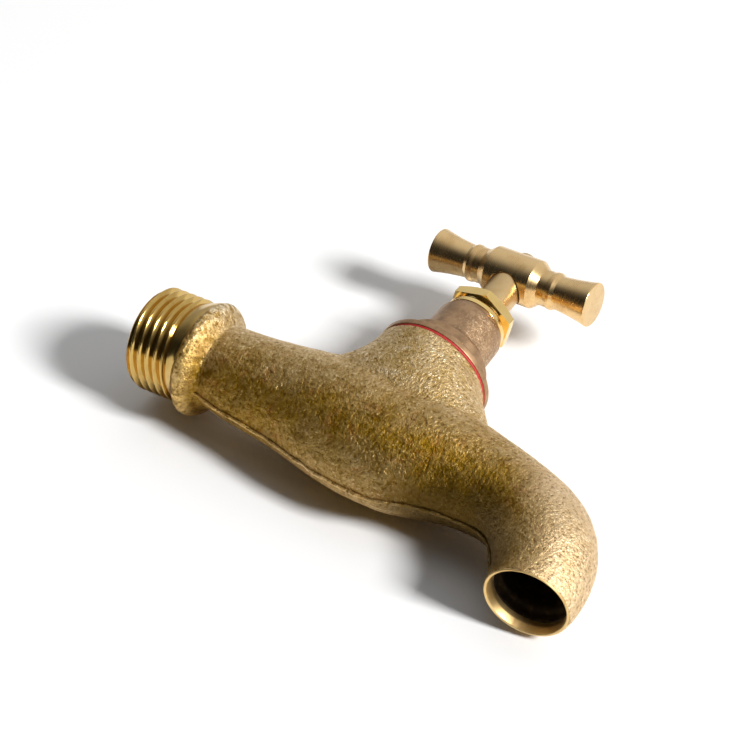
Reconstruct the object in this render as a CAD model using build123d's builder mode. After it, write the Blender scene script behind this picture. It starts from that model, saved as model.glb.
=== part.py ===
from build123d import *
import os
from math import cos, radians, sin

# Bib tap with a tee handle, closed. Millimetres, Z up. The origin is the centre of the
# threaded inlet's end face, the flow enters along +X and the valve axis is parallel to Z.

os.makedirs("parts", exist_ok=True)

# Fits between neighbouring pieces (radial unless they are between flat faces)
thread_clearance = 0.05
running_clearance = 0.05
packing_clearance = 0.02
rivet_clearance = 0.03
seat_gap = 0.05
thrust_gap = 0.1

# Inlet: pipe thread G 1/2 and the cast collar behind it
thread_radius = 20.955 / 2
thread_length = 8.6
inlet_bore_radius = 6.2
inlet_bore_length = 12.0
collar_centre_x = 11.4
collar_centre_z = -0.4
collar_tilt = 4.0
collar_radius = 11.45
collar_front = -2.4
collar_front_radius = 10.1
collar_back = 3.1
collar_back_radius = 9.0
collar_root = 3.7
collar_root_radius = 7.0
collar_blend = 2.0
shank_step = 0.2

# Cast body: half width, height above and depth below the widest line of each section.
# Every row is x, z, downward lean in degrees, half width, height, depth.
body_stations = [
    (11.5, -0.4, 0, 8.2, 8.2, 8.3),
    (18.0, -0.8, 0, 8.5, 8.5, 9.0),
    (26.0, -1.1, 0, 8.9, 9.1, 10.5),
    (34.0, -1.0, 0, 9.6, 9.8, 11.8),
    (43.0, -1.0, 0, 10.7, 10.7, 14.0),
    (53.5, -1.5, 0, 11.1, 11.2, 15.4),
    (62.5, -2.6, 0, 10.8, 10.6, 14.3),
    (71.0, -3.2, 3, 10.2, 10.2, 11.5),
    (79.5, -3.95, 8, 8.9, 8.9, 10.3),
    (88.5, -7.2, 31, 9.1, 9.1, 9.0),
    (95.3, -12.9, 55, 9.7, 9.7, 9.3),
    (98.65, -20.5, 79, 8.6, 8.8, 9.1),
]
round_handle = 0.5523
keel_handle = 0.46

# Spout: an arc in the XZ plane and a short straight end
mouth_x = 98.95
mouth_z = -25.3
mouth_lean = 82.5
mouth_straight = 2.5
bend_radius = 21.9
bend_lean = 8.0
mouth_rim_radius = 8.25
mouth_bore_radius = 7.25
mouth_bore_length = 5.0
bend_x = mouth_x - mouth_straight * cos(radians(mouth_lean)) - bend_radius * sin(radians(mouth_lean))
bend_z = mouth_z + mouth_straight * sin(radians(mouth_lean)) - bend_radius * cos(radians(mouth_lean))

# Valve chamber and boss
valve_x = 53.5
boss_radius = 12.2
boss_top = 16.1
boss_blend = 2.0
# Foot of the boss where it spreads into the casting: z, shift along X, and how much
# longer and wider than the boss it is on each side
boss_foot = [
    (14.4, 0.2, 0.22, 0.0),
    (12.6, 0.7, 1.3, -0.05),
    (10.2, 1.1, 3.0, -0.2),
    (8.2, 1.1, 4.7, -0.4),
    (6.5, 1.0, 6.6, -0.6),
    (3.5, 1.0, 9.8, -1.1),
    (0.5, 1.0, 11.8, -1.9),
]
boss_wall = 2.7
bonnet_thread_depth = 0.8
chamber_floor = -1.9
bonnet_thread_bottom = 8.0
seat_orifice_radius = 4.8
seat_lip_radius = 6.2
seat_lip_top = -1.1

# Cast waterways: every row is x, z, downward lean, radius
inlet_passage = [
    (inlet_bore_length, 0.0, 0, inlet_bore_radius),
    (24.0, -1.4, 0, 6.2),
    (34.0, -4.6, 0, 5.6),
    (43.0, -8.5, 0, 4.8),
    (valve_x, -9.6, 0, 4.8),
    (60.0, -9.6, 0, 4.5),
]
bend_bore_radius = 6.6
outlet_passage = [
    (57.0, 1.8, 0, 4.0),
    (63.5, 1.6, 0, 4.1),
    (71.0, -1.2, 5, 5.6),
]

# Body washer and bonnet
washer_overhang = 0.15
washer_height = 0.8
spigot_bottom = 8.5
flange_height = 1.0
base_radius = 9.4
base_height = 3.7
base_across_flats = 17.6
base_flat_angle = -72.4
cone_height = 1.9
barrel_lower_radius = 7.25
barrel_upper_radius = 7.0
barrel_shoulder_z = 30.6
barrel_top = 32.0
barrel_top_radius = 6.4
lift_thread_radius = 4.8
lift_thread_top = 20.6
box_radius = 5.2
box_bottom = 24.5

# Gland: ring, packing and nut
ring_height = 0.8
packing_height = 4.0
nut_across_flats = 12.7
nut_corner_angle = -13.0
nut_collar_radius = 6.6
nut_collar_height = 0.8
nut_side_top = 34.8
nut_top = 36.4
nut_top_radius = 5.5

# Spindle and tee bar
shaft_radius = 3.6
spindle_thread_top = 16.0
hub_axis_z = 48.36
hub_radius = 4.95
shaft_shoulder_z = 45.0
rivet_radius = 2.4
rivet_proud = 0.3
rivet_chamfer = 0.35
bar_half_length = 17.75
hub_half_length = 4.9
bevel_end = 6.6
neck_radius = 3.65
neck_end = 8.2
bead_start = 8.9
bead_end = 9.4
bead_radius = 3.85
groove_at = 10.2
groove_radius = 3.42
flare_waist_at = 14.0
flare_waist_radius = 3.92
bar_end_radius = 4.6
bar_end_chamfer = 0.3

# Jumper valve, its washer and nut
jumper_stem_radius = 2.2
jumper_stem_top = 12.0
jumper_hole_top = 13.0
plate_height = 2.2
plate_gap = 1.1
cup_depth = 1.1
cup_wall = 0.6
seat_washer_height = 3.0
stud_radius = 1.6
stud_proud = 0.8
jumper_nut_across_flats = 5.5
jumper_nut_height = 2.0

# Radii that follow from the boss
bonnet_thread_radius = boss_radius - boss_wall
chamber_radius = bonnet_thread_radius - bonnet_thread_depth
washer_radius = boss_radius + washer_overhang
flange_radius = boss_radius
plate_radius = chamber_radius - plate_gap
seat_washer_radius = plate_radius - cup_wall

# Heights that follow from the stack
washer_top = boss_top + washer_height
flange_top = washer_top + flange_height
base_top = flange_top + base_height
cone_top = base_top + cone_height
packing_bottom = box_bottom + ring_height
gland_bottom = packing_bottom + packing_height
seat_washer_bottom = seat_lip_top + seat_gap
plate_bottom = seat_washer_bottom + seat_washer_height
plate_top = plate_bottom + plate_height
spindle_bottom = plate_top + thrust_gap
spindle_thread_radius = lift_thread_radius - thread_clearance
shaft_bore_radius = shaft_radius + running_clearance
gland_outer_radius = box_radius - thread_clearance


def casting_outline(half_width, height, depth):
    """Edges of one body section: round above its widest line, drawn to a soft keel below."""
    low_handle = keel_handle if depth > 1.05 * half_width else round_handle
    with BuildLine() as outline:
        Bezier((half_width, 0), (half_width, round_handle * height),
               (round_handle * half_width, height), (0, height))
        Bezier((0, height), (-round_handle * half_width, height),
               (-half_width, round_handle * height), (-half_width, 0))
        Bezier((-half_width, 0), (-half_width, -round_handle * depth),
               (-low_handle * half_width, -depth), (0, -depth))
        Bezier((0, -depth), (low_handle * half_width, -depth),
               (half_width, -round_handle * depth), (half_width, 0))
    return outline.edges()


def section_plane(x, z, lean):
    """Plane across the flow at x, z, whose normal leans down by the given angle."""
    return Plane(origin=(x, 0, z), x_dir=(0, 1, 0),
                 z_dir=(cos(radians(lean)), 0, -sin(radians(lean))))


collar_plane = Plane(origin=(collar_centre_x, 0, collar_centre_z), z_dir=(0, -1, 0),
                     x_dir=(cos(radians(collar_tilt)), 0, -sin(radians(collar_tilt))))


def bend_plane(lean):
    """Plane across the spout's arc where the flow leans down by the given angle."""
    return section_plane(bend_x + bend_radius * sin(radians(lean)),
                         bend_z + bend_radius * cos(radians(lean)), lean)


with BuildPart() as body:
    # Casting from the collar to the mouth
    for x, z, lean, half_width, height, depth in body_stations:
        with BuildSketch(section_plane(x, z, lean)):
            make_face(casting_outline(half_width, height, depth))
    with BuildSketch(section_plane(mouth_x, mouth_z, mouth_lean)):
        make_face(casting_outline(mouth_rim_radius, mouth_rim_radius, mouth_rim_radius))
    loft()
    # Boss of the valve, spreading along the casting at its foot
    with BuildSketch(Plane.XY.offset(boss_top)):
        with Locations((valve_x, 0)):
            Ellipse(boss_radius, boss_radius)
    for z, shift, longer, wider in boss_foot:
        with BuildSketch(Plane.XY.offset(z)):
            with Locations((valve_x + shift, 0)):
                Ellipse(boss_radius + longer, boss_radius + wider)
    loft()
    fillet(body.edges(Select.NEW), radius=boss_blend)
    # Collar behind the thread, a little off its axis as cast
    with BuildSketch(collar_plane):
        with BuildLine():
            swell = Spline((collar_front, collar_front_radius), (0, collar_radius),
                           (collar_back, collar_back_radius), tangents=[(1, 0.9), (0.4, -1)])
            Polyline(swell @ 1, (collar_root, collar_root_radius), (collar_root, 0),
                     (collar_front, 0), swell @ 0)
        make_face()
    revolve(axis=Axis(collar_plane.origin, collar_plane.x_dir))
    fillet(body.edges(Select.NEW).filter_by(lambda e: e.center().X > collar_centre_x), radius=collar_blend)
    # Thread envelope, and the plain shank that carries it out of the collar
    with BuildSketch(Plane.YZ):
        Circle(thread_radius)
    extrude(amount=thread_length)
    with BuildSketch(Plane.YZ):
        Circle(collar_front_radius - shank_step)
    extrude(amount=collar_centre_x)
    # Inlet waterway up to the underside of the seat
    with BuildSketch(Plane.YZ):
        Circle(inlet_bore_radius)
    extrude(amount=inlet_bore_length, mode=Mode.SUBTRACT)
    for x, z, lean, radius in inlet_passage:
        with BuildSketch(section_plane(x, z, lean)):
            Circle(radius)
    loft(mode=Mode.SUBTRACT)
    with Locations((inlet_passage[-1][0], 0, inlet_passage[-1][1])):
        Sphere(inlet_passage[-1][3], mode=Mode.SUBTRACT)
    # Chamber, bonnet thread and seat
    with BuildSketch(Plane.XY.offset(chamber_floor)):
        with Locations((valve_x, 0)):
            Circle(chamber_radius)
    extrude(amount=boss_top - chamber_floor, mode=Mode.SUBTRACT)
    with BuildSketch(Plane.XY.offset(bonnet_thread_bottom)):
        with Locations((valve_x, 0)):
            Circle(bonnet_thread_radius)
    extrude(amount=boss_top - bonnet_thread_bottom, mode=Mode.SUBTRACT)
    with BuildSketch(Plane.XY.offset(chamber_floor)):
        with Locations((valve_x, 0)):
            Circle(seat_lip_radius)
    extrude(amount=seat_lip_top - chamber_floor)
    with BuildSketch(Plane.XY.offset(seat_lip_top)):
        with Locations((valve_x, 0)):
            Circle(seat_orifice_radius)
    extrude(amount=inlet_passage[-1][1] - seat_lip_top, mode=Mode.SUBTRACT)
    # Outlet waterway down the spout
    for x, z, lean, radius in outlet_passage:
        with BuildSketch(section_plane(x, z, lean)):
            Circle(radius)
    with BuildSketch(bend_plane(bend_lean)):
        Circle(bend_bore_radius)
    loft(mode=Mode.SUBTRACT)
    with BuildSketch(bend_plane(bend_lean)):
        Circle(bend_bore_radius)
    revolve(axis=Axis((bend_x, 0, bend_z), (0, 1, 0)), revolution_arc=mouth_lean - bend_lean,
            mode=Mode.SUBTRACT)
    with BuildSketch(section_plane(mouth_x, mouth_z, mouth_lean)):
        Circle(mouth_bore_radius)
    extrude(amount=-mouth_bore_length, mode=Mode.SUBTRACT)
body.part.label = "body"
export_step(body.part, "parts/body.step")

with BuildPart() as body_washer:
    with BuildSketch(Plane.XY.offset(boss_top)):
        with Locations((valve_x, 0)):
            Circle(washer_radius)
            Circle(bonnet_thread_radius + thread_clearance, mode=Mode.SUBTRACT)
    extrude(amount=washer_height)
body_washer.part.label = "body_washer"
export_step(body_washer.part, "parts/body_washer.step")

with BuildPart() as bonnet:
    with BuildSketch(Plane.XZ):
        with BuildLine():
            spigot = Polyline((valve_x + lift_thread_radius, spigot_bottom),
                              (valve_x + bonnet_thread_radius - thread_clearance, spigot_bottom),
                              (valve_x + bonnet_thread_radius - thread_clearance, washer_top),
                              (valve_x + flange_radius, washer_top),
                              (valve_x + flange_radius, flange_top),
                              (valve_x + base_radius, flange_top),
                              (valve_x + base_radius, base_top),
                              (valve_x + barrel_lower_radius, cone_top),
                              (valve_x + barrel_upper_radius, barrel_shoulder_z))
            shoulder = Spline(spigot @ 1, (valve_x + barrel_top_radius, barrel_top),
                              tangents=[(0, 1), (-1, 0.5)])
            Polyline(shoulder @ 1, (valve_x + box_radius, barrel_top),
                     (valve_x + box_radius, box_bottom),
                     (valve_x + shaft_bore_radius, box_bottom),
                     (valve_x + shaft_bore_radius, lift_thread_top),
                     (valve_x + lift_thread_radius, lift_thread_top),
                     spigot @ 0)
        make_face()
    revolve(axis=Axis((valve_x, 0, 0), (0, 0, 1)))
    # Two flats for the spanner
    with BuildSketch(Plane.XY.offset(flange_top)):
        with Locations(Location((valve_x, 0, 0), (0, 0, 1), base_flat_angle)):
            with Locations(((base_across_flats + base_radius) / 2, 0),
                           (-(base_across_flats + base_radius) / 2, 0)):
                Rectangle(base_radius, 4 * base_radius)
    extrude(amount=base_height + cone_height, mode=Mode.SUBTRACT)
bonnet.part.label = "bonnet"
export_step(bonnet.part, "parts/bonnet.step")

with BuildPart() as gland_ring:
    with BuildSketch(Plane.XY.offset(box_bottom)):
        with Locations((valve_x, 0)):
            Circle(gland_outer_radius)
            Circle(shaft_bore_radius, mode=Mode.SUBTRACT)
    extrude(amount=ring_height)
gland_ring.part.label = "gland_ring"
export_step(gland_ring.part, "parts/gland_ring.step")

with BuildPart() as gland_packing:
    with BuildSketch(Plane.XY.offset(packing_bottom)):
        with Locations((valve_x, 0)):
            Circle(box_radius - packing_clearance)
            Circle(shaft_radius + packing_clearance, mode=Mode.SUBTRACT)
    extrude(amount=packing_height)
gland_packing.part.label = "gland_packing"
export_step(gland_packing.part, "parts/gland_packing.step")

with BuildPart() as gland_nut:
    with BuildSketch(Plane.XY.offset(barrel_top + nut_collar_height)):
        with Locations((valve_x, 0)):
            RegularPolygon(radius=nut_across_flats / 2, side_count=6, major_radius=False,
                           rotation=nut_corner_angle)
    extrude(amount=nut_top - barrel_top - nut_collar_height)
    # Cone that bevels the six corners at the top
    nut_corner_radius = nut_across_flats / 3 ** 0.5
    with BuildSketch(Plane.XZ):
        Polygon((valve_x + nut_corner_radius, nut_side_top), (valve_x + nut_top_radius, nut_top),
                (valve_x + 2 * nut_corner_radius, nut_top),
                (valve_x + 2 * nut_corner_radius, nut_side_top),
                align=None)
    revolve(axis=Axis((valve_x, 0, 0), (0, 0, 1)), mode=Mode.SUBTRACT)
    with BuildSketch(Plane.XY.offset(barrel_top)):
        with Locations((valve_x, 0)):
            Circle(nut_collar_radius)
    extrude(amount=nut_collar_height)
    with BuildSketch(Plane.XY.offset(gland_bottom)):
        with Locations((valve_x, 0)):
            Circle(gland_outer_radius)
    extrude(amount=barrel_top - gland_bottom)
    with BuildSketch(Plane.XY.offset(gland_bottom)):
        with Locations((valve_x, 0)):
            Circle(shaft_bore_radius)
    extrude(amount=nut_top - gland_bottom, mode=Mode.SUBTRACT)
gland_nut.part.label = "gland_nut"
export_step(gland_nut.part, "parts/gland_nut.step")

with BuildPart() as spindle:
    rivet_top = hub_axis_z + hub_radius + rivet_proud
    with BuildSketch(Plane.XZ):
        with BuildLine():
            Polyline((valve_x + jumper_stem_radius + running_clearance, spindle_bottom),
                     (valve_x + spindle_thread_radius, spindle_bottom),
                     (valve_x + spindle_thread_radius, spindle_thread_top),
                     (valve_x + shaft_radius, spindle_thread_top),
                     (valve_x + shaft_radius, shaft_shoulder_z),
                     (valve_x + rivet_radius, shaft_shoulder_z),
                     (valve_x + rivet_radius, rivet_top - rivet_chamfer),
                     (valve_x + rivet_radius - rivet_chamfer, rivet_top),
                     (valve_x, rivet_top),
                     (valve_x, jumper_hole_top),
                     (valve_x + jumper_stem_radius + running_clearance, jumper_hole_top),
                     close=True)
        make_face()
    revolve(axis=Axis((valve_x, 0, 0), (0, 0, 1)))
spindle.part.label = "spindle"
export_step(spindle.part, "parts/spindle.step")

with BuildPart() as tee_bar:
    with BuildSketch(Plane(origin=(valve_x, 0, hub_axis_z), x_dir=(1, 0, 0), z_dir=(0, -1, 0))):
        with BuildLine():
            hub = Polyline((0, 0), (0, hub_radius), (hub_half_length, hub_radius),
                           (bevel_end, neck_radius), (neck_end, neck_radius),
                           (bead_start, bead_radius), (bead_end, bead_radius),
                           (groove_at, groove_radius))
            flare = Spline(hub @ 1, (flare_waist_at, flare_waist_radius),
                           (bar_half_length - bar_end_chamfer, bar_end_radius),
                           tangents=[(1, 0.05), (1, 0.22)])
            Polyline(flare @ 1, (bar_half_length, bar_end_radius - bar_end_chamfer),
                     (bar_half_length, 0), (0, 0))
        make_face()
    revolve(axis=Axis((valve_x, 0, hub_axis_z), (1, 0, 0)))
    mirror(about=Plane(origin=(valve_x, 0, 0), z_dir=(1, 0, 0)))
    # Seat of the spindle from below and the rivet hole through the hub
    with BuildSketch(Plane.XY.offset(hub_axis_z - hub_radius)):
        with Locations((valve_x, 0)):
            Circle(shaft_radius + rivet_clearance)
    extrude(amount=shaft_shoulder_z - hub_axis_z + hub_radius, mode=Mode.SUBTRACT)
    with BuildSketch(Plane.XY.offset(hub_axis_z - hub_radius)):
        with Locations((valve_x, 0)):
            Circle(rivet_radius + rivet_clearance)
    extrude(amount=2 * hub_radius, mode=Mode.SUBTRACT)
tee_bar.part.label = "tee_bar"
export_step(tee_bar.part, "parts/tee_bar.step")

with BuildPart() as jumper:
    stud_bottom = seat_washer_bottom - jumper_nut_height - stud_proud
    with BuildSketch(Plane.XZ):
        with BuildLine():
            Polyline((valve_x, stud_bottom), (valve_x + stud_radius, stud_bottom),
                     (valve_x + stud_radius, plate_bottom),
                     (valve_x + seat_washer_radius + rivet_clearance, plate_bottom),
                     (valve_x + seat_washer_radius + rivet_clearance, plate_bottom - cup_depth),
                     (valve_x + plate_radius, plate_bottom - cup_depth),
                     (valve_x + plate_radius, plate_top),
                     (valve_x + jumper_stem_radius, plate_top),
                     (valve_x + jumper_stem_radius, jumper_stem_top),
                     (valve_x, jumper_stem_top), close=True)
        make_face()
    revolve(axis=Axis((valve_x, 0, 0), (0, 0, 1)))
jumper.part.label = "jumper"
export_step(jumper.part, "parts/jumper.step")

with BuildPart() as seat_washer:
    with BuildSketch(Plane.XY.offset(seat_washer_bottom)):
        with Locations((valve_x, 0)):
            Circle(seat_washer_radius)
            Circle(stud_radius + rivet_clearance, mode=Mode.SUBTRACT)
    extrude(amount=seat_washer_height)
seat_washer.part.label = "seat_washer"
export_step(seat_washer.part, "parts/seat_washer.step")

with BuildPart() as washer_nut:
    with BuildSketch(Plane.XY.offset(seat_washer_bottom)):
        with Locations((valve_x, 0)):
            RegularPolygon(radius=jumper_nut_across_flats / 2, side_count=6, major_radius=False)
            Circle(stud_radius + rivet_clearance, mode=Mode.SUBTRACT)
    extrude(amount=-jumper_nut_height)
washer_nut.part.label = "washer_nut"
export_step(washer_nut.part, "parts/washer_nut.step")
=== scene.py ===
"""Looks of a bibcock with a tee handle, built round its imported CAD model.

Sizes are in millimetres in the part's own frame: the inlet runs along X, the valve
stands along Z, and the tap lies on its +Y side on a white table.
"""
import logging
import math
from contextlib import contextmanager
from dataclasses import dataclass
from enum import Enum
from typing import Callable, Iterator, Sequence

import bmesh
import bpy
from mathutils import Matrix, Vector, noise


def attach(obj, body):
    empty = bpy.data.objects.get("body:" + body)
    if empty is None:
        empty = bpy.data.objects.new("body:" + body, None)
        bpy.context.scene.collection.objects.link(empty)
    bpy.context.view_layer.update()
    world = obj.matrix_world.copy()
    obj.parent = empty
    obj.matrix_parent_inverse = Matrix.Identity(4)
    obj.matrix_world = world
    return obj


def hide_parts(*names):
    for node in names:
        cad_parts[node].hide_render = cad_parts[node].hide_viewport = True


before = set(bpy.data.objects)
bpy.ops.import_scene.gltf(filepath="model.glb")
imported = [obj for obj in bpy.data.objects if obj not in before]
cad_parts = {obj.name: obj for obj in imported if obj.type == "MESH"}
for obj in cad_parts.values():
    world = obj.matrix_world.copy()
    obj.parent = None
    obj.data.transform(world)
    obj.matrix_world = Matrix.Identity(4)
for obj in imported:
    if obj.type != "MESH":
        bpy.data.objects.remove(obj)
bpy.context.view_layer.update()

MM = 0.001
LOG = logging.getLogger("bibcock")
Piece = bpy.types.Object
Socket = bpy.types.NodeSocket
Colour = tuple[float, float, float]
Point = tuple[float, float]
Rows = Sequence[Point]
Fill = Socket | float | Sequence[float]


class Line(Enum):
    """The axes that pieces are turned round: a point in millimetres, the axis and the radial direction."""

    INLET = ((0.0, 0.0, 0.0), (1.0, 0.0, 0.0), (0.0, 0.0, 1.0))
    COLLAR = ((12.4, 0.0, -0.5), (0.99593, 0.08713, 0.0227), (-0.02279, 0.0, 0.99974))
    VALVE = ((53.5, 0.0, 0.0), (0.0, 0.0, 1.0), (1.0, 0.0, 0.0))
    BAR = ((53.5, 0.0, 48.36), (1.0, 0.0, 0.0), (0.0, 0.0, 1.0))

    @property
    def centre(self) -> Vector:
        """A point of the axis, in metres."""
        return Vector(self.value[0]) * MM

    @property
    def along(self) -> Vector:
        """The axis direction."""
        return Vector(self.value[1])

    @property
    def radial(self) -> Vector:
        """The direction in which the half profile is drawn."""
        return Vector(self.value[2])


class Cut(Enum):
    """What a tool shape does to a piece."""

    JOIN = "UNION"
    REMOVE = "DIFFERENCE"
    TRIM = "INTERSECT"


# Workbench: how pieces are made


def take(piece: Piece) -> None:
    """Makes one object the only selected and active one.

    Args:
        piece: The object to take in hand.
    """
    bpy.ops.object.select_all(action="DESELECT")
    piece.select_set(True)
    bpy.context.view_layer.objects.active = piece


@contextmanager
def shaping(piece: Piece) -> Iterator[None]:
    """Opens edit mode on a piece with all its points selected, and closes it again.

    Args:
        piece: The mesh object to shape.
    """
    take(piece)
    bpy.ops.object.mode_set(mode="EDIT")
    bpy.ops.mesh.select_mode(type="VERT")
    bpy.ops.mesh.select_all(action="SELECT")
    yield
    bpy.ops.object.mode_set(mode="OBJECT")


def start(add: Callable, name: str, **settings: object) -> Piece:
    """Adds a primitive with nothing else selected, and names it.

    Args:
        add: The operator that adds the primitive.
        name: Name of the new piece.
        settings: What the operator is told.

    Returns:
        The new object.
    """
    bpy.ops.object.select_all(action="DESELECT")
    add(**settings)
    piece = bpy.context.active_object
    piece.name = piece.data.name = name
    return piece


def placed(name: str, data: bpy.types.ID) -> Piece:
    """Puts a mesh, a curve, a lamp or a camera into the scene.

    Args:
        name: Name of the new object.
        data: What the object shows.

    Returns:
        The new object.
    """
    piece = bpy.data.objects.new(name, data)
    bpy.context.scene.collection.objects.link(piece)
    return piece


def fuse(piece: Piece, other: Piece) -> Piece:
    """Puts another piece into a piece's mesh as it is.

    Args:
        piece: The piece that stays.
        other: The piece that goes into it.

    Returns:
        The same piece.
    """
    take(piece)
    other.select_set(True)
    bpy.ops.object.join()
    return piece


def settle(piece: Piece) -> Piece:
    """Puts a piece's place, turn and size into its mesh.

    Args:
        piece: The object to settle.

    Returns:
        The same object, at the origin.
    """
    take(piece)
    bpy.ops.object.transform_apply(location=True, rotation=True, scale=True)
    return piece


def finish_with(piece: Piece, kind: str, **settings: object) -> None:
    """Adds one modifier and applies it.

    Args:
        piece: The object to work on.
        kind: Type of the modifier.
        settings: Values of the modifier.
    """
    take(piece)
    modifier = piece.modifiers.new(kind.title(), kind)
    for key, value in settings.items():
        setattr(modifier, key, value)
    bpy.ops.object.modifier_apply(modifier=modifier.name)


def combine(piece: Piece, tool: Piece, cut: Cut) -> None:
    """Changes a piece by a tool shape, which is used up.

    Args:
        piece: The piece that stays.
        tool: The closed shape to combine it with.
        cut: What the tool does.
    """
    finish_with(piece, "BOOLEAN", object=tool, operation=cut.value, solver="EXACT")
    bpy.data.objects.remove(tool)


def close_up(piece: Piece, gap: float = 0.0015) -> None:
    """Merges doubles and turns all faces outwards.

    Args:
        piece: The piece to clean.
        gap: Largest distance of two doubles, in millimetres.
    """
    with shaping(piece):
        bpy.ops.mesh.remove_doubles(threshold=gap * MM)
        bpy.ops.mesh.select_all(action="SELECT")
        bpy.ops.mesh.normals_make_consistent(inside=False)


def smooth(piece: Piece, angle: float = 32.0) -> Piece:
    """Shades a piece smooth except over sharp edges.

    Args:
        piece: The piece to shade.
        angle: Smallest angle of a sharp edge, in degrees.

    Returns:
        The same piece.
    """
    take(piece)
    bpy.ops.object.shade_smooth_by_angle(angle=math.radians(angle))
    return piece


def eased(corners: Sequence[tuple[float, float, float]], steps: int = 5) -> list[Point]:
    """Rounds the corners of a half profile.

    Args:
        corners: Rows of distance along the axis, radius, and corner radius.
        steps: Segments in each rounded corner.

    Returns:
        The points of the profile.
    """
    points: list[Point] = []
    for i, (along, radius, corner) in enumerate(corners):
        here = Vector((along, radius))
        if corner <= 0 or i in (0, len(corners) - 1):
            points.append((along, radius))
            continue
        back = Vector(corners[i - 1][:2]) - here
        ahead = Vector(corners[i + 1][:2]) - here
        half = back.angle(ahead) / 2
        reach = min(corner / math.tan(half), 0.48 * back.length, 0.48 * ahead.length)
        first, last = here + back.normalized() * reach, here + ahead.normalized() * reach
        for k in range(steps + 1):
            t = k / steps
            spot = first * (1 - t) ** 2 + here * 2 * t * (1 - t) + last * t ** 2
            points.append((spot.x, spot.y))
    return points


def drawn(name: str, spots: Sequence[Vector]) -> Piece:
    """Draws a line of edges from spot to spot.

    Args:
        name: Name of the piece.
        spots: Its corners, in metres.

    Returns:
        The line as a mesh object at the origin.
    """
    piece = settle(start(bpy.ops.mesh.primitive_plane_add, name, size=MM, location=spots[0]))
    with shaping(piece):
        bpy.ops.mesh.merge(type="CENTER")
        for before, after in zip(spots, spots[1:]):
            bpy.ops.mesh.extrude_region_move(
                TRANSFORM_OT_translate={"value": after - before, "orient_type": "GLOBAL"})
    return piece


def turned(name: str, line: Line, profile: Sequence[Point], steps: int = 128) -> Piece:
    """Turns a half profile round an axis, as on a lathe.

    Args:
        name: Name of the piece.
        line: The axis to turn round.
        profile: Points of distance along the axis and radius, in millimetres. Its ends are
            joined, unless it starts on the axis.
        steps: Segments round the axis.

    Returns:
        The turned piece.
    """
    spots = [line.centre + line.along * along * MM + line.radial * radius * MM
             for along, radius in profile]
    piece = drawn(name, [*spots, spots[0]] if profile[0][1] else spots)
    with shaping(piece):
        bpy.ops.mesh.spin(steps=steps, angle=2 * math.pi, center=line.centre, axis=line.along)
    close_up(piece)
    return piece


# Finishes


class Wiring:
    """A node tree, with the few blocks that the finishes and the room share."""

    def __init__(self, tree: bpy.types.NodeTree) -> None:
        """Takes the tree of a material or a world, and empties it."""
        self.tree = tree
        self.tree.nodes.clear()

    def add(self, kind: str, *values: Fill, operation: str = "", **inputs: Fill) -> bpy.types.Node:
        """Adds a node and fills its sockets with output sockets or plain values.

        Args:
            kind: Type of the node, without the words that all types begin with.
            values: What goes into its first sockets, in order.
            operation: What it works out, if it is a math node.
            inputs: What goes into sockets by name, with _ for a space.

        Returns:
            The new node.
        """
        node = self.tree.nodes.new("ShaderNode" + kind)
        if operation:
            node.operation = operation
        for socket, value in zip(node.inputs, values):
            self.feed(socket, value)
        for key, value in inputs.items():
            self.feed(node.inputs[key.replace("_", " ")], value)
        return node

    def feed(self, socket: Socket, value: Fill) -> None:
        """Links an output to a socket, or sets the socket's value.

        Args:
            socket: The input to fill.
            value: An output socket or a plain value.
        """
        if isinstance(value, Socket):
            self.tree.links.new(value, socket)
        else:
            socket.default_value = value

    def sum(self, operation: str, *values: Socket | float) -> Socket:
        """Returns the output of a math node with these values."""
        return self.add("Math", *values, operation=operation).outputs[0]

    def ramp(self, factor: Socket, stops: Rows) -> Socket:
        """Remaps a factor.

        Args:
            factor: The factor, from 0 to 1.
            stops: Rows of position and value.

        Returns:
            The remapped factor.
        """
        node = self.add("ValToRGB", factor)
        marks = node.color_ramp.elements
        while len(marks) < len(stops):
            marks.new(0.5)
        for mark, (position, value) in zip(marks, stops):
            mark.position = position
            mark.color = (value, value, value, 1)
        return node.outputs["Color"]

    def graded(self, distance: Socket, rows: Rows) -> Socket:
        """Turns a distance into a factor.

        Args:
            distance: The distance, in the unit of the rows.
            rows: Distances in rising order, each with its factor.

        Returns:
            The factor, which keeps its first and last value outside the rows.
        """
        low, reach = rows[0][0], rows[-1][0] - rows[0][0]
        share = self.sum("MULTIPLY_ADD", distance, 1 / reach, -low / reach)
        return self.ramp(share, [((at - low) / reach, value) for at, value in rows])


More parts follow.
